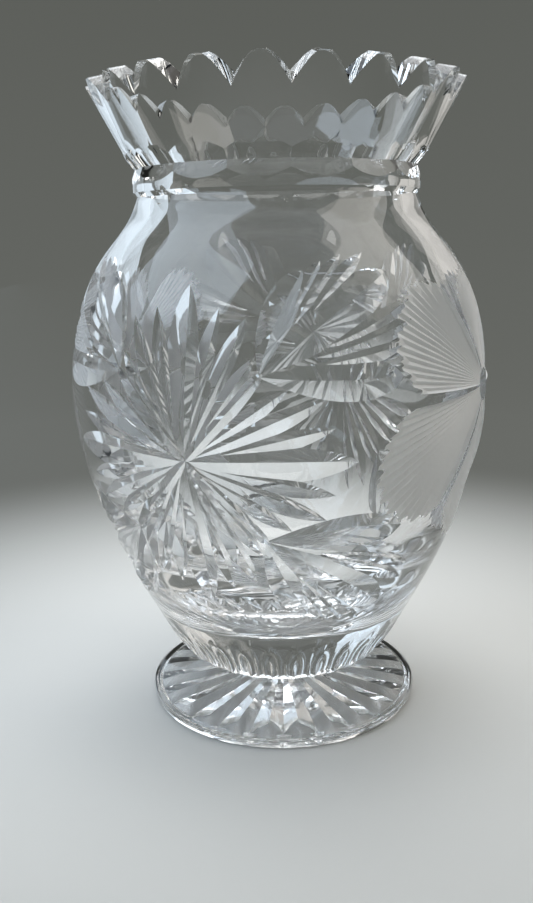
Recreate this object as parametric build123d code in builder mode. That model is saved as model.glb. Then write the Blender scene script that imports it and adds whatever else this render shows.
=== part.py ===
from build123d import *
import os
from math import cos, degrees, radians, sin, tan

# Cut crystal vase, in millimetres. +Z is up, the origin is on the table under the vase's axis, and the
# middle of the front is at -Y. Azimuths are measured from the front, positive towards +X.

# Driving dimensions
HEIGHT = 165.0
BODY_R = 55.0
BODY_AT = 86.0
RIM_R = 47.9
RIM_WALL = 4.7
NECK_R = 36.9
NECK_BORE_R = 31.2
GROOVE_AT = 144.0
BAND_FROM = 137.0
BAND_STEP = 0.9
BAND_RAMP = 1.2
THROAT_EASE = 1.6
WALL = 5.5
FLOOR_AT = 28.0
JOINT_AT = 10.0
JOINT_R = 13.0
FOOT_R = 37.6
FOOT_EDGE = 1.2
RING_IN_R = 35.5
RING_OUT_R = 36.8

# Scalloped rim
SCALLOPS = 22
SCALLOP_PEAK = -3.65
VALLEY_OUT = 7.0
VALLEY_OUT_AT = 44.2
VALLEY_IN = 4.0
VALLEY_IN_AT = 41.1
RIM_FALL = 1.0
SCALLOP_LAND = 0.15
SCALLOP_CLEAR = 5.0

# Neck panels
PANELS = 16
PANEL_EDGE = 5.2
PANEL_WAIST = 35.5
PANEL_REACH = 5.0
LOWER_SLOPE = 0.37
UPPER_SLOPE = 0.85

# Cut pattern on the body
STAR_AZIMUTH = -23.0
STAR_CLIMB = 80.0
FLOWER_AZIMUTH = 67.0
FLOWER_CLIMB = 92.0
V_HALF_ANGLE = 56.0
BITE_SPARE = 3.0
RAY = 38.0
STEM = 26.0
STEM_TURN = 48.0
START = 1.0
RAY_DEPTH = 1.5
LEAF_DEPTH = 1.9
LEAVES = [(21.0, 24.0), (-11.0, 38.0), (-48.0, 32.0)]
PETALS = 6
PETAL_LENGTH = 34.0
PETAL_WIDTH = 24.0
PETAL_DEPTH = 1.3
PETAL_FROM = 4.0
PETAL_TURN = 30.0

# Star cut under the foot
FOOT_RAYS = 24
FOOT_RAY_IN = 4.0
FOOT_RAY_OUT = 32.0
FOOT_RAY_DEPTH = 1.6
DISH = 0.8

COLLAR_SLOPE = (RIM_R - NECK_R) / (HEIGHT - GROOVE_AT)
PITCH = 360.0 / SCALLOPS


def heading(azimuth):
    """Direction of an azimuth in the table's plane."""
    return Vector(sin(radians(azimuth)), -cos(radians(azimuth)), 0)


def blade_radius(length, depth):
    """Radius of the wheel whose cut has this length and depth in a flat face."""
    return (length**2 / 4 + depth**2) / (2 * depth)


def v_wheel(length, depth):
    """The biting edge of a V wheel that cuts this length and depth; its deepest point is the origin."""
    radius = blade_radius(length, depth)
    half = radius / tan(radians(V_HALF_ANGLE))
    with BuildPart(mode=Mode.PRIVATE) as wheel:
        with BuildSketch(Plane.XZ):
            with BuildLine():
                Polyline((radius, -half), (0, 0), (radius, half), close=True)
            make_face()
        revolve(axis=Axis((radius, 0, 0), (0, 0, 1)))
        split(bisect_by=Plane((depth + BITE_SPARE, 0, 0), z_dir=(1, 0, 0)), keep=Keep.BOTTOM)
    return wheel.part


# The line of the bowl's outside, in the plane of radius and height
SIDE_POINTS = [
    (19.0, 10.5),
    (26.8, 14.2),
    (33.8, 24.0),
    (43.1, 42.0),
    (51.2, 64.0),
    (BODY_R, BODY_AT),
    (52.5, 107.0),
    (45.2, 123.0),
    (37.7, 133.0),
    (NECK_R - BAND_STEP, BAND_FROM),
]
side = Spline(*SIDE_POINTS)

with BuildPart() as bowl:
    # Blown glass: outside, rim, and the cavity down to the thick floor
    with BuildSketch(Plane.XZ):
        with BuildLine():
            Line((0, JOINT_AT), (JOINT_R, JOINT_AT))
            Line((JOINT_R, JOINT_AT), SIDE_POINTS[0])
            add(side)
            Polyline(
                SIDE_POINTS[-1],
                (NECK_R, BAND_FROM + BAND_RAMP),
                (NECK_R, GROOVE_AT),
                (RIM_R - RIM_FALL * COLLAR_SLOPE, HEIGHT - RIM_FALL),
                (RIM_R - RIM_WALL, HEIGHT),
            )
            Line((RIM_R - RIM_WALL, HEIGHT), (NECK_BORE_R + THROAT_EASE, GROOVE_AT + THROAT_EASE))
            Spline(
                (NECK_BORE_R + THROAT_EASE, GROOVE_AT + THROAT_EASE),
                (NECK_BORE_R, GROOVE_AT - 4),
                (40.2, 122.0),
                (BODY_R - WALL, BODY_AT),
                (44.2, 60.0),
                (33.5, 42.0),
                (17.0, FLOOR_AT + 2),
                (0, FLOOR_AT),
                tangents=[(-COLLAR_SLOPE, -1), (-1, 0)],
                tangent_scalars=(0.15, 0.5),
            )
            Line((0, FLOOR_AT), (0, JOINT_AT))
        make_face()
    revolve(axis=Axis.Z)

# One valley of the scalloped rim: a tool with a V floor and parabolic flanks, wider and deeper outside
with BuildPart() as scallop_tool:
    above = HEIGHT + SCALLOP_CLEAR
    floor_slope = (VALLEY_OUT - VALLEY_IN) / (VALLEY_OUT_AT - VALLEY_IN_AT)
    for station in (RIM_R - 3 * RIM_WALL, RIM_R + RIM_WALL):
        half = station * tan(radians(PITCH / 2))
        out = (station - RIM_R) / RIM_WALL
        crest = HEIGHT + SCALLOP_LAND - RIM_FALL * (1 + out)
        floor = HEIGHT - VALLEY_OUT - floor_slope * (station - VALLEY_OUT_AT)
        with BuildSketch(Plane(origin=(station, 0, 0), x_dir=(0, 1, 0), z_dir=(1, 0, 0))):
            with BuildLine():
                Bezier((0, floor), (half / 2, crest), (half, crest))
                Polyline((half, crest), (half, above), (-half, above), (-half, crest))
                Bezier((-half, crest), (-half / 2, crest), (0, floor))
            make_face()
    loft(ruled=True)

# Two rows of flat neck panels that meet in the groove: a ring with a faceted core taken out of it
with BuildPart() as panel_tool:
    with BuildSketch(Plane.XY.offset(GROOVE_AT - PANEL_REACH)):
        Circle(BODY_R)
    extrude(amount=2 * PANEL_REACH)
    for rise, slope in ((-PANEL_REACH, LOWER_SLOPE), (PANEL_REACH, UPPER_SLOPE)):
        with BuildSketch(Plane.XY.offset(GROOVE_AT)):
            RegularPolygon(PANEL_WAIST, PANELS, major_radius=False, rotation=PANEL_EDGE)
        with BuildSketch(Plane.XY.offset(GROOVE_AT + rise)):
            apothem = PANEL_WAIST + slope * PANEL_REACH
            RegularPolygon(apothem, PANELS, major_radius=False, rotation=PANEL_EDGE)
        loft(mode=Mode.SUBTRACT)


def skin_point(azimuth, climb):
    """Point, way up and way out on the bowl's outside, by azimuth and length climbed along its line."""
    on_line = side.position_at(climb, position_mode=PositionMode.LENGTH)
    rise = side.tangent_at(climb, position_mode=PositionMode.LENGTH)
    out = heading(azimuth)
    point = out * on_line.X + Vector(0, 0, on_line.Y)
    up = out * rise.X + Vector(0, 0, rise.Y)
    level = Vector(0, 0, 1).cross(out)
    return point, level, up, level.cross(up)


def place_cut(wheel, azimuth, climb, turn, start, length, depth):
    """The wheel's edge, set to cut from a place on the skin in a direction in the skin."""
    reach = start + length / 2
    around = degrees(reach * cos(radians(turn)) / BODY_R)
    point, level, up, out = skin_point(azimuth + around, climb + reach * sin(radians(turn)))
    along = level * cos(radians(turn)) + up * sin(radians(turn))
    return Plane(origin=point - out * depth, x_dir=out, z_dir=out.cross(along)).location * wheel


def star_cuts(azimuth):
    """Tools for one leafy star: straight rays, and stems that each end in a spray of leaves."""
    ray = v_wheel(RAY, RAY_DEPTH)
    stem = v_wheel(STEM, RAY_DEPTH)
    leaves = [(spread, length, v_wheel(length, LEAF_DEPTH)) for spread, length in LEAVES]
    tools = []
    for quarter in range(4):
        hand = (1, -1)[quarter % 2]
        turn = 180 * ((quarter + 1) // 2) + STEM_TURN * hand
        tools.append(place_cut(ray, azimuth, STAR_CLIMB, 90 * quarter, START, RAY, RAY_DEPTH))
        tools.append(place_cut(stem, azimuth, STAR_CLIMB, turn, START, STEM, RAY_DEPTH))
        node = azimuth + degrees(STEM * cos(radians(turn)) / BODY_R)
        node_climb = STAR_CLIMB + STEM * sin(radians(turn))
        for spread, length, leaf in leaves:
            leaf_turn = turn + spread * hand
            tools.append(place_cut(leaf, node, node_climb, leaf_turn, START, length, LEAF_DEPTH))
    return tools


def petal_cuts(azimuth):
    """Tools for one flower: shallow oval hollows around an uncut centre."""
    radius = blade_radius(PETAL_LENGTH, PETAL_DEPTH)
    half = PETAL_WIDTH / 2
    with BuildPart(mode=Mode.PRIVATE) as wheel:
        with BuildSketch(Plane.XZ):
            with BuildLine():
                ThreePointArc((PETAL_DEPTH, -half), (0, 0), (PETAL_DEPTH, half))
                Polyline((PETAL_DEPTH, half), (radius, half), (radius, -half), (PETAL_DEPTH, -half))
            make_face()
        revolve(axis=Axis((radius, 0, 0), (0, 0, 1)))
        split(bisect_by=Plane((PETAL_DEPTH + BITE_SPARE, 0, 0), z_dir=(1, 0, 0)), keep=Keep.BOTTOM)
    tools = []
    for petal in range(PETALS):
        turn = PETAL_TURN + 360 / PETALS * petal
        tools.append(
            place_cut(wheel.part, azimuth, FLOWER_CLIMB, turn, PETAL_FROM, PETAL_LENGTH, PETAL_DEPTH)
        )
    return tools


with bowl:
    with PolarLocations(0, SCALLOPS, start_angle=SCALLOP_PEAK - 90 + PITCH / 2):
        add(scallop_tool.part, mode=Mode.SUBTRACT)
    add(panel_tool.part, mode=Mode.SUBTRACT)
    for face_about in (0, 180):
        add(petal_cuts(FLOWER_AZIMUTH + face_about), mode=Mode.SUBTRACT, clean=False)
        add(star_cuts(STAR_AZIMUTH + face_about), mode=Mode.SUBTRACT, clean=False)

# Applied foot: waist, spread top, ground ring and the dished underside with its star cut
with BuildPart() as foot:
    with BuildSketch(Plane.XZ):
        with BuildLine():
            Line((0, JOINT_AT), (JOINT_R, JOINT_AT))
            Spline(
                (JOINT_R, JOINT_AT),
                (17.0, 7.9),
                (26.0, 5.7),
                (FOOT_R - FOOT_EDGE, 3.6),
                tangents=[(0.3, -1), (1, -0.28)],
                tangent_scalars=(0.3, 0.3),
            )
            ThreePointArc((FOOT_R - FOOT_EDGE, 3.6), (FOOT_R, 2.2), (FOOT_R - 0.3, 1.0))
            Line((FOOT_R - 0.3, 1.0), (RING_OUT_R, 0))
            Line((RING_OUT_R, 0), (RING_IN_R, 0))
            Polyline((RING_IN_R, 0), (RING_IN_R - DISH, DISH), (0, DISH), (0, JOINT_AT))
        make_face()
    revolve(axis=Axis.Z)
    ray_length = FOOT_RAY_OUT - FOOT_RAY_IN
    ray_middle = FOOT_RAY_IN + ray_length / 2
    ray_plane = Plane((ray_middle, 0, DISH + FOOT_RAY_DEPTH), x_dir=(0, 0, -1), z_dir=(0, 1, 0))
    foot_ray = ray_plane.location * v_wheel(ray_length, FOOT_RAY_DEPTH)
    with PolarLocations(0, FOOT_RAYS):
        add(foot_ray, mode=Mode.SUBTRACT)

os.makedirs("parts", exist_ok=True)
bowl.part.label = "bowl"
foot.part.label = "foot"
export_step(bowl.part, "parts/bowl.step")
export_step(foot.part, "parts/foot.step")
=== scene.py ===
import bpy
import math
import numpy as np
from mathutils import Matrix, Vector


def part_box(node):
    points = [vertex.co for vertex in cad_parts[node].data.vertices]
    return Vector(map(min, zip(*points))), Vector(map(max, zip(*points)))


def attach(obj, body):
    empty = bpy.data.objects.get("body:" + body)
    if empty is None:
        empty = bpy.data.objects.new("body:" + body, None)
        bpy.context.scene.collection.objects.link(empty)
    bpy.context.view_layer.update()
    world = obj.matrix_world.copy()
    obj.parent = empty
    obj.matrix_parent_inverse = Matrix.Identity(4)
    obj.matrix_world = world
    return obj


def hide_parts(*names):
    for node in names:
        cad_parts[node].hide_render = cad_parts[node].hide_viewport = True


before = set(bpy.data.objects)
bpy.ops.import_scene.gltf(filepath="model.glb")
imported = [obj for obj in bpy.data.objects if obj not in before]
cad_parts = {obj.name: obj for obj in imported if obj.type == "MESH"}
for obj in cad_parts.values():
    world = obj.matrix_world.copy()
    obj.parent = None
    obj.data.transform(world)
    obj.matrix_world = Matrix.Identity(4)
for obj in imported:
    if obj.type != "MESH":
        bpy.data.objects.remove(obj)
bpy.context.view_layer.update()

# Cut crystal vase. The vase is measured in millimetres and meshed in metres (MM), the studio in metres.
# Angles are in degrees. A place on the bowl's skin is an azimuth, from the front towards +X, and a climb
# along the outline from SKIN's first point. The turn of a cut is measured in the skin, from level.
MM = 0.001
TURN = 2 * math.pi

# Outline of the bowl, up the outside and down the inside: radius, height
JOINT_AT, JOINT_R = 10.0, 13.0
GROOVE_AT, NECK_R = 144.0, 36.9
RIM_R, RIM_WALL, RIM_FALL = 47.9, 4.7, 1.0
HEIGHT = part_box("bowl")[1].z / MM
COLLAR_SLOPE = (RIM_R - NECK_R) / (HEIGHT - GROOVE_AT)
BAND_FROM, BAND_RAMP, BAND_EASE = 137.0, 1.2, 2.5
SKIN = [
    (19.0, 10.5), (26.8, 14.2), (33.8, 24.0), (43.1, 42.0), (51.2, 64.0), (55.0, 86.0),
    (52.5, 107.0), (45.2, 123.0), (37.7, 133.0), (36.0, BAND_FROM),
]
CAVITY = [
    (32.8, 145.6), (31.2, 140.0), (40.2, 122.0), (49.5, 86.0), (44.2, 60.0), (33.5, 42.0),
    (17.0, 30.0), (0.0, 28.0),
]

# Points round every turned line of the bowl, and flutes round its solid base: heights and their depths
SPOKES, FLUTES = 360, 30
FLUTE_AT, FLUTE_DEEP = (10.5, 12.5, 21.0, 28.0), (0.0, 0.5, 0.75, 0.0)

# Scallops of the rim: azimuth of one peak, then depth and radius of the valleys, outside and inside
SCALLOPS, SCALLOP_PEAK, SCALLOP_STEPS = 22, -3.65, 24
VALLEY_OUT, VALLEY_OUT_AT = 7.0, 44.2
VALLEY_IN, VALLEY_IN_AT = 4.0, 41.1
SCALLOP_LAND, SCALLOP_CLEAR = 0.15, 5.0

# Flat panels above and below the groove of the neck: azimuth of one edge, then their distance from the
# axis at the groove, their reach up and down from it, and how fast they spread there
PANELS, PANEL_EDGE = 16, 5.2
PANEL_WAIST, PANEL_REACH, PANEL_CLEAR_R = 35.5, 5.0, 60.0
LOWER_SLOPE, UPPER_SLOPE = 0.37, 0.85

# How far every cutting tool stands out of the skin, so that it leaves no film of glass
LIFT = 0.35
GROOVE_STEPS = 14

# Leaf star: its centre, its stems, and how each kind of cut swells. A cut's depth goes with
# u**first * (1 - u)**second, from 0 at its start to 1 at its tip.
STAR_AZIMUTH, STAR_CLIMB = -23.0, 80.0
STEM_TURN, STEM = 48.0, 26.0
LEAF_SWELL, MAIN_SWELL, BLADE_SWELL, STEM_SWELL = (1.1, 0.65), (1.1, 0.85), (1.7, 1.0), (0.5, 0.5)
# start, length, width and depth of the four main leaves, and of the four stems
MAIN_LEAF = (-1.5, 41, 8.8, 1.8)
STEM_CUT = (-1.5, STEM + 3, 4.2, 1.3)
# turn from the nearest main leaf, start, length, width and depth of the blades between leaf and stem
BLADES = [(13, 3, 32, 4.4, 1.3), (24, -1, 36, 4.8, 1.4), (35, 2, 27, 4.0, 1.2)]
# turn from its own stem, start, length, width, depth, swell and bend of each cut in a spray
SPRAY = [
    (19, 0, 25, 8.4, 1.6, LEAF_SWELL, 1.2),
    (13, 14, 15, 3.4, 1.1, MAIN_SWELL, 0.4),
    (6.5, 12, 21, 3.8, 1.2, MAIN_SWELL, 0.6),
    (-0.5, 14, 23, 4.0, 1.2, MAIN_SWELL, 0.8),
    (-12, 0, 38, 12.0, 2.0, LEAF_SWELL, 0.6),
    (-24.5, 15, 25, 4.4, 1.3, MAIN_SWELL, -0.8),
    (-31, 13, 27, 4.6, 1.3, MAIN_SWELL, -0.4),
    (-38.5, 13, 21, 4.2, 1.2, MAIN_SWELL, -0.2),
    (-50, 0, 33, 10.0, 1.8, LEAF_SWELL, -0.6),
]

# Matte flower: turn and length of its petals, then the fan of fine lines in each. Lengths are shortened
# towards the petal's sides by PETAL_ROUND, and at every other line by PETAL_TOOTH.
FLOWER_AZIMUTH, FLOWER_CLIMB = 67.0, 92.0
PETALS = [(30, 40.0), (90, 30.0), (150, 41.0), (210, 46.0), (270, 42.0), (330, 40.0)]
PETAL_LINES, PETAL_SPREAD, PETAL_STEPS = 19, 27.5, 12
PETAL_EYE, PETAL_DEPTH, PETAL_RIDGE = 3.2, 1.35, 0.6
PETAL_ROUND, PETAL_TOOTH = 0.24, 1.6
PETAL_RISE, PETAL_FALL, PETAL_SPARE = 0.5, 0.3, 0.06
RIDGE_DROP, RIDGE_END_DROP = 0.03, 0.22

# Foot: its top, its edge with the ground ring, and the star of mitres in its dished underside
FOOT_TOP = [(13.0, 10.0), (16.5, 8.3), (26.0, 5.9), (36.4, 3.6)]
FOOT_EDGE = [(37.3, 3.0), (37.6, 2.2), (37.3, 1.0), (36.8, 0.0), (35.5, 0.0), (34.7, 0.8)]
WAIST_FROM, DISH = 4.0, 0.8
FOOT_RAYS, RAY_SPOKES, RAY_STEPS = 24, 16, 24
RAY_IN, RAY_OUT, RAY_DEPTH, RAY_END = 2.5, 34.6, 2.0, 10

# Edges sharper than CRISP_ANGLE stay crisp. Points this near to the joint's plane, in metres, lie in it.
CRISP_ANGLE, TOUCH = 14.0, 1e-6

# Studio: a pale floor that sweeps up into a grey wall all round
FLOOR_R, WALL_R, WALL_TOP = 0.42, 0.78, 1.3
FLOOR_IN_R, FLOOR_MID_R, STUDIO_SIDES, SWEEP_STEPS = 0.002, 0.2, 96, 24
PALE_TO, GREY_FROM, PAINT_ROUGHNESS = 0.05, 0.27, 0.9
FLOOR_COLOUR, WALL_COLOUR = (0.66, 0.66, 0.64), (0.02, 0.02, 0.018)
WALL_GLOW = (0.082, 0.086, 0.076)
AIR_COLOUR, AIR_STRENGTH = (0.5, 0.53, 0.57), 0.55

# Soft lights, all aimed at AIM: place, size, watts, colour
AIM = (0.0, 0.0, 0.08)
SOFTBOXES = {
    "window_left": ((-0.62, -0.25, 0.55), (0.9, 0.9), 5.6, (0.74, 0.86, 1.0)),
    "window_right": ((0.62, -0.1, 0.5), (0.5, 0.9), 2.2, (1.0, 0.96, 0.9)),
    "overhead": ((0.0, 0.35, 1.2), (1.1, 1.1), 9.5, (1.0, 0.99, 0.97)),
    "rear_left": ((-0.36, 0.45, 0.25), (0.38, 0.48), 0.52, (0.76, 0.88, 1.0)),
    "rear_right": ((0.4, 0.44, 0.26), (0.34, 0.48), 0.26, (1.0, 0.96, 0.92)),
    "rear_top": ((-0.12, 0.5, 0.74), (1.0, 0.5), 3.0, (0.86, 0.93, 1.0)),
}

# How often light may pass through glass, or leave shiny and matt faces
GLASS_BOUNCES, GLOSS_BOUNCES, MATT_BOUNCES = 24, 12, 3

# Camera: the photograph's viewpoint, worked out from the rim, neck, body and foot
CAMERA_BACK, CAMERA_UP = 0.2434, 0.1279
PITCH, YAW, ROLL = 13.56, 0.885, -0.997
LENS, SENSOR, CLIP_FROM = 36.03, 36.0, 0.01


# ---- materials ----
CRYSTAL_IOR, TINT_LIFT = 1.545, 1.02
POLISH_SCALE, POLISH_DETAIL, POLISH_LOW, POLISH_HIGH = 90.0, 6.0, 0.45, 0.8
RIPPLE_DETAIL = 2.0


def new_material(name):
    """An empty node material, its nodes and its links."""
    material = bpy.data.materials.new(name)
    material.use_nodes = True
    material.node_tree.nodes.clear()
    return material, material.node_tree.nodes, material.node_tree.links


def crystal(name, roughness, wave, wave_scale, tint, transmission=1.0):
    """Lead crystal: Principled glass with uneven polish and a faint ripple from the wheel or the mould.

    roughness is its lowest and highest value, wave the height of the ripple in metres.
    """
    material, nodes, links = new_material(name)
    out = nodes.new("ShaderNodeOutputMaterial")
    glass = nodes.new("ShaderNodeBsdfPrincipled")
    glass.inputs["IOR"].default_value = CRYSTAL_IOR
    glass.inputs["Transmission Weight"].default_value = transmission
    place = nodes.new("ShaderNodeTexCoord")
    polish = nodes.new("ShaderNodeTexNoise")
    polish.inputs["Scale"].default_value = POLISH_SCALE
    polish.inputs["Detail"].default_value = POLISH_DETAIL
    spread = nodes.new("ShaderNodeMapRange")
    spread.inputs["From Min"].default_value = POLISH_LOW
    spread.inputs["From Max"].default_value = POLISH_HIGH
    spread.inputs["To Min"].default_value, spread.inputs["To Max"].default_value = roughness
    ripple = nodes.new("ShaderNodeTexNoise")
    ripple.inputs["Scale"].default_value = wave_scale
    ripple.inputs["Detail"].default_value = RIPPLE_DETAIL
    bump = nodes.new("ShaderNodeBump")
    bump.inputs["Distance"].default_value = wave
    colour = nodes.new("ShaderNodeMix")
    colour.data_type = "RGBA"
    colour.inputs["A"].default_value = (*tint, 1)
    colour.inputs["B"].default_value = (*[min(1.0, c * TINT_LIFT) for c in tint], 1)
    links.new(place.outputs["Object"], polish.inputs["Vector"])
    links.new(place.outputs["Object"], ripple.inputs["Vector"])
    links.new(polish.outputs["Fac"], spread.inputs["Value"])
    links.new(spread.outputs["Result"], glass.inputs["Roughness"])
    links.new(polish.outputs["Fac"], colour.inputs["Factor"])
    links.new(colour.outputs["Result"], glass.inputs["Base Color"])
    links.new(ripple.outputs["Fac"], bump.inputs["Height"])
    links.new(bump.outputs["Normal"], glass.inputs["Normal"])
    links.new(glass.outputs["BSDF"], out.inputs["Surface"])
    return material


def fused_joint():
    """The seam where foot and bowl were fused hot: optically nothing, so light goes straight through."""
    material, nodes, links = new_material("fused_joint")
    out = nodes.new("ShaderNodeOutputMaterial")
    clear = nodes.new("ShaderNodeBsdfTransparent")
    links.new(clear.outputs["BSDF"], out.inputs["Surface"])
    return material


# The four finishes, in the order of every mesh's material slots
FINISHES = (
    crystal("polished_crystal", (0.0, 0.03), 0.00002, 45.0, (0.985, 0.99, 0.99)),
    crystal("cut_facet", (0.0, 0.03), 0.000012, 220.0, (0.97, 0.985, 1.0), transmission=0.9),
    crystal("matte_cut", (0.45, 0.6), 0.00006, 900.0, (0.97, 0.975, 0.98), transmission=0.12),
    fused_joint(),
)
POLISHED, FACET, MATTE, JOINT = range(len(FINISHES))


# ---- shapes ----
CURVE_STEPS = 2000


def curve(points, count, start=None, end=None):
    """Cubic spline through points, evenly spaced along its length. start and end fix its directions."""
    p = np.array(points, float)
    t = np.concatenate([[0], np.cumsum(np.linalg.norm(np.diff(p, axis=0), axis=1))])
    n = len(p)
    a = np.zeros((n, n))
    b = np.zeros((n, 2))
    for i in range(1, n - 1):
        h0, h1 = t[i] - t[i - 1], t[i + 1] - t[i]
        a[i, i - 1 : i + 2] = h0 / 6, (h0 + h1) / 3, h1 / 6
        b[i] = (p[i + 1] - p[i]) / h1 - (p[i] - p[i - 1]) / h0
    for end_i, step_i, slope, sign in ((0, 1, start, 1), (n - 1, n - 2, end, -1)):
        if slope is None:
            a[end_i, end_i] = 1
            continue
        h = abs(t[step_i] - t[end_i])
        chord = sign * (p[step_i] - p[end_i]) / h
        a[end_i, end_i], a[end_i, step_i] = h / 3, h / 6
        b[end_i] = sign * (chord - np.array(slope, float) / np.linalg.norm(slope))
    m = np.linalg.solve(a, b)
    fine = np.linspace(0, t[-1], CURVE_STEPS)
    k = np.clip(np.searchsorted(t, fine) - 1, 0, n - 2)
    h = (t[k + 1] - t[k])[:, None]
    u0, u1 = t[k + 1][:, None] - fine[:, None], fine[:, None] - t[k][:, None]
    q = (m[k] * u0**3 + m[k + 1] * u1**3) / (6 * h)
    q += (p[k] / h - m[k] * h / 6) * u0 + (p[k + 1] / h - m[k + 1] * h / 6) * u1
    s = np.concatenate([[0], np.cumsum(np.linalg.norm(np.diff(q, axis=0), axis=1))])
    at = np.linspace(0, s[-1], count)
    return np.stack([np.interp(at, s, q[:, 0]), np.interp(at, s, q[:, 1])], 1)


def straight(a, b, count):
    """Evenly spaced points from a to b, both included."""
    return np.array(a) + np.linspace(0, 1, count)[:, None] * (np.array(b) - np.array(a))


skin_line = curve(SKIN, 400)
skin_climb = np.concatenate([[0], np.cumsum(np.linalg.norm(np.diff(skin_line, axis=0), axis=1))])
skin_slope = np.gradient(skin_line, skin_climb, axis=0)


def skin(azimuth, climb):
    """Points of the skin and the directions out of it."""
    azimuth = np.radians(azimuth)
    r, z, dr, dz = (
        np.interp(climb, skin_climb, column) for column in np.hstack([skin_line, skin_slope]).T
    )
    s, c = np.sin(azimuth), -np.cos(azimuth)
    level = np.stack([-c, s, 0 * s], 1)
    up = np.stack([dr * s, dr * c, dz], 1)
    return np.stack([r * s, r * c, z], 1), np.cross(level, up)


def across_skin(azimuth, climb, dx, dy):
    """Azimuth of the place that is dx mm across and dy mm up the skin from azimuth and climb."""
    here, there = (np.interp(c, skin_climb, skin_line[:, 0]) for c in (climb, climb + dy))
    return azimuth + np.degrees(dx * 2 / (here + there))


def mesh_object(name, verts, faces, finish=POLISHED):
    """A closed mesh object from millimetre points, its faces turned outwards and all in one finish."""
    verts = np.array(verts, float)
    corners = np.array([(f[0], f[i], f[i + 1]) for f in faces for i in range(1, len(f) - 1)])
    a, b, c = (verts[corners[:, i]] for i in range(3))
    if np.einsum("ij,ij->i", a, np.cross(b, c)).sum() < 0:
        faces = [f[::-1] for f in faces]
    mesh = bpy.data.meshes.new(name)
    mesh.from_pydata((verts * MM).tolist(), [], [tuple(f) for f in faces])
    for material in FINISHES:
        mesh.materials.append(material)
    mesh.polygons.foreach_set("material_index", [finish] * len(faces))
    mesh.update()
    obj = bpy.data.objects.new(name, mesh)
    bpy.context.scene.collection.objects.link(obj)
    return obj


def circle(reach, angle, z):
    """Points round the axis at one height, at one reach or at a reach for each angle."""
    return np.stack([reach * np.cos(angle), reach * np.sin(angle), z + 0 * angle], 1)


def lathe(name, bottom, rings, top):
    """Closed solid through rings of equal point counts, between a lowest and a highest point on the axis."""
    n = len(rings[0])
    verts = [(0, 0, bottom), *(point for ring in rings for point in ring), (0, 0, top)]
    first_of_last = 1 + (len(rings) - 1) * n
    faces = []
    for j in range(n):
        k = (j + 1) % n
        faces.append((0, 1 + k, 1 + j))
        for a in range(1, first_of_last, n):
            faces.append((a + j, a + k, a + n + k, a + n + j))
        faces.append((first_of_last + j, first_of_last + k, len(verts) - 1))
    return mesh_object(name, verts, faces)


def combine(target, tool, operation):
    """Applies one Boolean of a closed tool to the target's mesh, and removes the tool."""
    step = target.modifiers.new("cut", "BOOLEAN")
    step.operation = operation
    step.solver = "MANIFOLD"
    step.object = tool
    bpy.context.view_layer.update()
    done = bpy.data.meshes.new_from_object(target.evaluated_get(bpy.context.evaluated_depsgraph_get()))
    target.modifiers.remove(step)
    used = [target.data, tool.data]
    target.data = done
    bpy.data.objects.remove(tool)
    for mesh in used:
        bpy.data.meshes.remove(mesh)


def subtract(target, tools):
    """Cuts a bunch of overlapping tools out of the target: they are joined first, while they are small."""
    bunch = tools[0]
    for tool in tools[1:]:
        combine(bunch, tool, "UNION")
    combine(target, bunch, "DIFFERENCE")


def prism(name, sections):
    """Closed solid through polygons with equal point counts."""
    n = len(sections[0])
    verts = [v for section in sections for v in section]
    faces = [tuple(range(n))[::-1]]
    for i in range(len(sections) - 1):
        for j in range(n):
            k = (j + 1) % n
            faces.append((i * n + j, i * n + k, (i + 1) * n + k, (i + 1) * n + j))
    faces.append(tuple(range((len(sections) - 1) * n, len(sections) * n)))
    return mesh_object(name, verts, faces)


def groove(name, azimuth, climb, turn, cut, swell, bend=0.0):
    """Tool of a wheel cut with a V section, laid along the skin in the direction turn.

    cut is its start, length, width and depth. It is deepest where swell puts it, and fades out at both ends.
    """
    start, length, width, depth = cut
    a, b = swell
    u = np.linspace(0, 1, GROOVE_STEPS + 1)
    peak = (a / (a + b)) ** a * (b / (a + b)) ** b
    deep = depth * u**a * (1 - u) ** b / peak
    x = start + length * u
    y = bend * 4 * u * (1 - u)
    t = math.radians(turn)
    dx, dy = x * math.cos(t) - y * math.sin(t), x * math.sin(t) + y * math.cos(t)
    point, out = skin(across_skin(azimuth, climb, dx, dy), climb + dy)
    along = np.gradient(point, axis=0)
    along /= np.linalg.norm(along, axis=1)[:, None]
    across = np.cross(out, along)
    flank = width / 2 / depth
    half = ((deep + LIFT) * flank)[:, None]
    bottom = point - out * deep[:, None]
    left, right = point + out * LIFT + across * half, point + out * LIFT - across * half
    ends = [point[i] + out[i] * LIFT + along[i] * side * LIFT * flank for i, side in ((0, -1), (-1, 1))]
    n = GROOVE_STEPS + 1
    verts = list(bottom) + list(left) + list(right) + ends
    faces = []
    for i in range(GROOVE_STEPS):
        faces.append((i, i + 1, n + i + 1, n + i))
        faces.append((i + 1, i, 2 * n + i, 2 * n + i + 1))
        faces.append((n + i, n + i + 1, 2 * n + i + 1, 2 * n + i))
    e0, e1 = 3 * n, 3 * n + 1
    faces += [(0, n, e0), (2 * n, 0, e0), (n, 2 * n, e0)]
    faces += [(n - 1, e1, 2 * n - 1), (3 * n - 1, e1, n - 1), (2 * n - 1, e1, 3 * n - 1)]
    return mesh_object(name, verts, faces, FACET)


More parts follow.
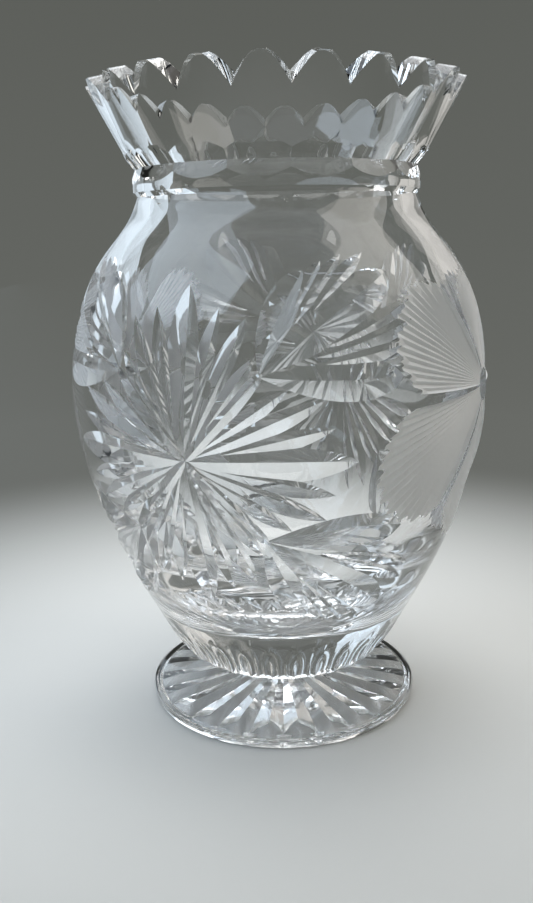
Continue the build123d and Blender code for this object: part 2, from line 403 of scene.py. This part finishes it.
# ---- bowl ----
def bowl_blank():
    """The uncut bowl: turned inside and out, with shallow flutes round its solid base.

    Each stretch of its outline ends with its number of points.
    """
    rim_out = (RIM_R - RIM_FALL * COLLAR_SLOPE, HEIGHT - RIM_FALL)
    rim_in = (RIM_R - RIM_WALL, HEIGHT)
    line = np.concatenate([
        straight((JOINT_R, JOINT_AT), SKIN[0], 4)[:-1],
        curve(SKIN, 70),
        [(NECK_R, BAND_FROM + BAND_RAMP)],
        straight((NECK_R, BAND_FROM + BAND_EASE), (NECK_R, GROOVE_AT), 5),
        straight((NECK_R, GROOVE_AT), rim_out, 11)[1:],
        straight(rim_out, rim_in, 4)[1:],
        straight(rim_in, CAVITY[0], 10)[1:-1],
        curve(CAVITY, 64, (-COLLAR_SLOPE, -1), (-1, 0)),
    ])
    spoke = np.arange(SPOKES)
    angle = spoke * TURN / SPOKES
    hollow = 1 - (spoke % (SPOKES // FLUTES) * 2 * FLUTES / SPOKES - 1) ** 2
    rings = [circle(r - np.interp(z, FLUTE_AT, FLUTE_DEEP) * hollow, angle, z) for r, z in line[:-1]]
    return lathe("bowl_crystal", JOINT_AT, rings, CAVITY[-1][1])


def scallop(index):
    """Tool of one V valley, between the arches of the rim."""
    pitch = 360 / SCALLOPS
    angle = math.radians(SCALLOP_PEAK - 90 + pitch * (index + 0.5))
    valley_slope = (VALLEY_OUT - VALLEY_IN) / (VALLEY_OUT_AT - VALLEY_IN_AT)
    top = HEIGHT + SCALLOP_CLEAR
    sections = []
    for station in (RIM_R - 3 * RIM_WALL, RIM_R + RIM_WALL):
        half = station * math.tan(math.radians(pitch / 2))
        crest = HEIGHT + SCALLOP_LAND - RIM_FALL * (1 + (station - RIM_R) / RIM_WALL)
        floor = HEIGHT - VALLEY_OUT - valley_slope * (station - VALLEY_OUT_AT)
        u = np.linspace(0, 1, SCALLOP_STEPS + 1)
        arch = [(half * v, crest - (crest - floor) * (1 - v) ** 2) for v in u]
        outline = arch + [(half, top), (-half, top)] + [(-y, z) for y, z in arch[:0:-1]]
        way, side = (math.cos(angle), math.sin(angle)), (-math.sin(angle), math.cos(angle))
        sections.append([
            (station * way[0] + y * side[0], station * way[1] + y * side[1], z) for y, z in outline
        ])
    return prism("scallop", sections)


def neck_tool():
    """Ring with a faceted bore, which leaves two rows of flat panels meeting in a groove."""
    levels = [
        (GROOVE_AT - PANEL_REACH, PANEL_WAIST + PANEL_REACH * LOWER_SLOPE),
        (GROOVE_AT, PANEL_WAIST),
        (GROOVE_AT + PANEL_REACH, PANEL_WAIST + PANEL_REACH * UPPER_SLOPE),
    ]
    n = PANELS
    angle = np.radians(PANEL_EDGE - 90 + np.arange(n) * 360 / n)
    corner = 1 / math.cos(math.pi / n)
    bore = [circle(apothem * corner, angle, z) for z, apothem in levels]
    outside = [circle(PANEL_CLEAR_R, angle, z) for z, _ in levels[::2]]
    bands = ((0, 1), (1, 2), (2, 4), (4, 3), (3, 0))
    faces = [
        (a * n + (j + 1) % n, a * n + j, b * n + j, b * n + (j + 1) % n) for j in range(n) for a, b in bands
    ]
    return mesh_object("neck_tool", np.concatenate(bore + outside), faces)


# ---- leaf stars and flowers ----
def star(azimuth):
    """Bunches of tools of one leaf star: main leaves with their blades, and stems that end in sprays."""
    bunches = []
    for main in (0, 90, 180, 270):
        bunch = [groove("leaf", azimuth, STAR_CLIMB, main, MAIN_LEAF, MAIN_SWELL)]
        for hand in (1, -1):
            for spread, *cut in BLADES:
                bunch.append(groove("blade", azimuth, STAR_CLIMB, main + hand * spread, cut, BLADE_SWELL))
        bunches.append(bunch)
    for side_x, side_y in ((1, 1), (-1, 1), (-1, -1), (1, -1)):
        hand = side_x * side_y
        turn = (STEM_TURN if side_x > 0 else 180 - STEM_TURN) * side_y
        bunch = [groove("stem", azimuth, STAR_CLIMB, turn, STEM_CUT, STEM_SWELL)]
        dx, dy = STEM * math.cos(math.radians(turn)), STEM * math.sin(math.radians(turn))
        node, node_climb = across_skin(azimuth, STAR_CLIMB, dx, dy), STAR_CLIMB + dy
        for spread, *cut, swell, bend in SPRAY:
            bunch.append(groove("spray", node, node_climb, turn + hand * spread, cut, swell, bend * hand))
        bunches.append(bunch)
    return bunches


def petal_line(azimuth, middle, length, index):
    """Lower and upper points of the tool along one valley (odd index) or ridge (even index) of a petal."""
    last = 2 * PETAL_LINES
    off = (2 * index / last - 1) * PETAL_SPREAD
    reach = length * (1 - PETAL_ROUND * (off / PETAL_SPREAD) ** 2) - PETAL_TOOTH * (index % 4 == 1)
    u = np.linspace(0, 1, PETAL_STEPS + 1)
    if index in (0, last):
        deep = np.full(PETAL_STEPS + 1, -LIFT / 2)
    else:
        rise = np.sin(np.pi * np.minimum(u / PETAL_RISE, 1) / 2)
        fade = rise * np.minimum(1, (1 + PETAL_SPARE - u) / PETAL_FALL)
        ridge = (PETAL_DEPTH - PETAL_RIDGE * u) * fade - RIDGE_END_DROP * u - RIDGE_DROP
        deep = PETAL_DEPTH * fade if index % 2 else ridge
        deep[0] = deep[-1] = -LIFT / 2
    r = PETAL_EYE + (reach - PETAL_EYE) * u
    t = math.radians(middle + off)
    dx, dy = r * math.cos(t), r * math.sin(t)
    point, out = skin(across_skin(azimuth, FLOWER_CLIMB, dx, dy), FLOWER_CLIMB + dy)
    return point - out * deep[:, None], point + out * LIFT


def petal(azimuth, middle, length):
    """Tool of one matte petal: a fan of fine V lines whose ends make a toothed edge, as one closed solid."""
    n, m = 2 * PETAL_LINES + 1, PETAL_STEPS + 1
    lines = [petal_line(azimuth, middle, length, i) for i in range(n)]
    verts = np.concatenate([low for low, _ in lines] + [high for _, high in lines])
    top, far = n * m, (n - 1) * m
    faces = []
    for a in range(0, far, m):
        for k in range(a, a + PETAL_STEPS):
            faces.append((k, k + m, k + m + 1, k + 1))
            faces.append((top + k, top + k + 1, top + k + m + 1, top + k + m))
    for a in range(0, far, m):
        b, tip, next_tip = a + m, a + PETAL_STEPS, a + m + PETAL_STEPS
        faces.append((a, top + a, top + b, b))
        faces.append((next_tip, top + next_tip, top + tip, tip))
    for k in range(PETAL_STEPS):
        faces.append((k + 1, top + k + 1, top + k, k))
        faces.append((far + k, top + far + k, top + far + k + 1, far + k + 1))
    return mesh_object("petal", verts, faces, MATTE)


def finish_surface(obj):
    """Joint faces get their own material, and facets stay crisp where the wheel left an edge."""
    mesh = obj.data
    for polygon in mesh.polygons:
        polygon.use_smooth = True
        if all(abs(mesh.vertices[v].co.z - JOINT_AT * MM) < TOUCH for v in polygon.vertices):
            polygon.material_index = JOINT
    mesh.set_sharp_from_angle(angle=math.radians(CRISP_ANGLE))
    finishes = {}
    for polygon in mesh.polygons:
        for edge in polygon.edge_keys:
            finishes.setdefault(edge, set()).add(polygon.material_index)
    for edge in mesh.edges:
        if len(finishes.get(edge.key, ())) > 1:
            edge.use_edge_sharp = True


def cut_bowl():
    """The bowl, cut in the order of the trade: rim, neck, then flowers and leaf stars on both faces."""
    obj = bowl_blank()
    for first in (0, 1):
        subtract(obj, [scallop(i) for i in range(first, SCALLOPS, 2)])
    subtract(obj, [neck_tool()])
    for about in (0, 180):
        for middle, length in PETALS:
            subtract(obj, [petal(FLOWER_AZIMUTH + about, middle, length)])
        for bunch in star(STAR_AZIMUTH + about):
            subtract(obj, bunch)
    finish_surface(obj)
    return obj


# ---- foot ----
def cut_foot():
    """The foot: a turned top and ring over a full star of mitres that meet each other along sharp ridges."""
    spoke = np.arange(FOOT_RAYS * RAY_SPOKES)
    angle = spoke * TURN / len(spoke)
    valley = 1 - np.abs(spoke % RAY_SPOKES / RAY_SPOKES * 2 - 1)
    under = np.linspace(RAY_IN, RAY_OUT, RAY_STEPS)
    u = (under - RAY_IN) / (RAY_OUT - RAY_IN)
    deep = RAY_DEPTH * u * (1 - u**RAY_END)
    top = np.concatenate([
        straight((WAIST_FROM, JOINT_AT), (JOINT_R, JOINT_AT), 3)[:-1],
        curve(FOOT_TOP, 26, (0.3, -1), (1, -0.28)),
        FOOT_EDGE,
    ])[::-1]
    rings = [circle(r, angle, DISH + d * valley) for r, d in zip(under, deep)]
    rings += [circle(r, angle, z) for r, z in top]
    obj = lathe("foot_crystal", DISH, rings, JOINT_AT)
    for polygon in obj.data.polygons:
        middle = polygon.center
        if middle.z < (DISH + RAY_DEPTH) * MM and middle.xy.length < RAY_OUT * MM:
            polygon.material_index = FACET
    finish_surface(obj)
    return obj


bowl = cut_bowl()
foot = cut_foot()

for piece, node, slot in ((bowl, "bowl", "crystal"), (foot, "foot", "foot_crystal")):
    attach(piece, "root")
    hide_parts(node)

# ---- studio, light and camera ----
def studio():
    """Floor and wall in one sweep. The floor's paint fades outwards into a wall that glows evenly."""
    material, nodes, links = new_material("studio")
    out = nodes.new("ShaderNodeOutputMaterial")
    paint = nodes.new("ShaderNodeBsdfPrincipled")
    paint.inputs["Roughness"].default_value = PAINT_ROUGHNESS
    paint.inputs["Emission Color"].default_value = (*WALL_GLOW, 1)
    place = nodes.new("ShaderNodeTexCoord")
    reach = nodes.new("ShaderNodeVectorMath")
    reach.operation = "LENGTH"
    fade = nodes.new("ShaderNodeMapRange")
    fade.interpolation_type = "SMOOTHSTEP"
    fade.inputs["From Min"].default_value = PALE_TO
    fade.inputs["From Max"].default_value = GREY_FROM
    ramp = nodes.new("ShaderNodeMix")
    ramp.data_type = "RGBA"
    ramp.inputs["A"].default_value = (*FLOOR_COLOUR, 1)
    ramp.inputs["B"].default_value = (*WALL_COLOUR, 1)
    links.new(place.outputs["Object"], reach.inputs[0])
    links.new(reach.outputs["Value"], fade.inputs["Value"])
    links.new(fade.outputs["Result"], ramp.inputs["Factor"])
    links.new(fade.outputs["Result"], paint.inputs["Emission Strength"])
    links.new(ramp.outputs["Result"], paint.inputs["Base Color"])
    links.new(paint.outputs["BSDF"], out.inputs["Surface"])
    bend = np.linspace(0, math.pi / 2, SWEEP_STEPS)
    radius = WALL_R - FLOOR_R
    sweep = [(FLOOR_R + radius * math.sin(t), radius * (1 - math.cos(t))) for t in bend]
    line = [(FLOOR_IN_R, 0), (FLOOR_MID_R, 0), *sweep, (WALL_R, WALL_TOP)]
    n = STUDIO_SIDES
    angle = np.arange(n) * TURN / n
    verts = np.concatenate([circle(r, angle, z) for r, z in line])
    faces = [
        (i * n + j, i * n + (j + 1) % n, (i + 1) * n + (j + 1) % n, (i + 1) * n + j)
        for i in range(len(line) - 1)
        for j in range(n)
    ]
    faces.append(tuple(range(n))[::-1])
    mesh = bpy.data.meshes.new("studio")
    mesh.from_pydata(verts.tolist(), [], faces)
    mesh.materials.append(material)
    mesh.polygons.foreach_set("use_smooth", [True] * len(faces))
    obj = bpy.data.objects.new("studio", mesh)
    bpy.context.scene.collection.objects.link(obj)


def softbox(name, place, size, watts, colour):
    """Rectangular area light aimed at the vase."""
    lamp = bpy.data.lights.new(name, "AREA")
    lamp.shape = "RECTANGLE"
    lamp.size, lamp.size_y = size
    lamp.energy = watts
    lamp.color = colour
    obj = bpy.data.objects.new(name, lamp)
    obj.location = place
    obj.rotation_euler = (Vector(AIM) - Vector(place)).to_track_quat("-Z", "Y").to_euler()
    obj.visible_camera = False
    bpy.context.scene.collection.objects.link(obj)


def air():
    """Even light from all round."""
    world = bpy.data.worlds.new("studio_air")
    bpy.context.scene.world = world
    world.use_nodes = True
    background = world.node_tree.nodes["Background"]
    background.inputs["Color"].default_value = (*AIR_COLOUR, 1)
    background.inputs["Strength"].default_value = AIR_STRENGTH


def place_camera():
    """The scene's camera, upright but for its own roll."""
    camera = bpy.data.objects.new("camera", bpy.data.cameras.new("camera"))
    camera.data.lens = LENS
    camera.data.sensor_width = SENSOR
    camera.data.clip_start = CLIP_FROM
    yaw, tilt, roll = (math.radians(a) for a in (YAW, 90 - PITCH, ROLL))
    turn = Matrix.Rotation(yaw, 4, "Z") @ Matrix.Rotation(tilt, 4, "X") @ Matrix.Rotation(roll, 4, "Z")
    camera.matrix_world = Matrix.Translation((0, -CAMERA_BACK, CAMERA_UP)) @ turn
    bpy.context.scene.collection.objects.link(camera)
    bpy.context.scene.camera = camera


studio()
air()
for light, settings in SOFTBOXES.items():
    softbox(light, *settings)
place_camera()

scene = bpy.context.scene
scene.cycles.max_bounces = GLASS_BOUNCES
scene.cycles.transmission_bounces = GLASS_BOUNCES
scene.cycles.transparent_max_bounces = GLASS_BOUNCES
scene.cycles.glossy_bounces = GLOSS_BOUNCES
scene.cycles.diffuse_bounces = MATT_BOUNCES
scene.cycles.use_denoising = True
scene.view_settings.view_transform = "Standard"
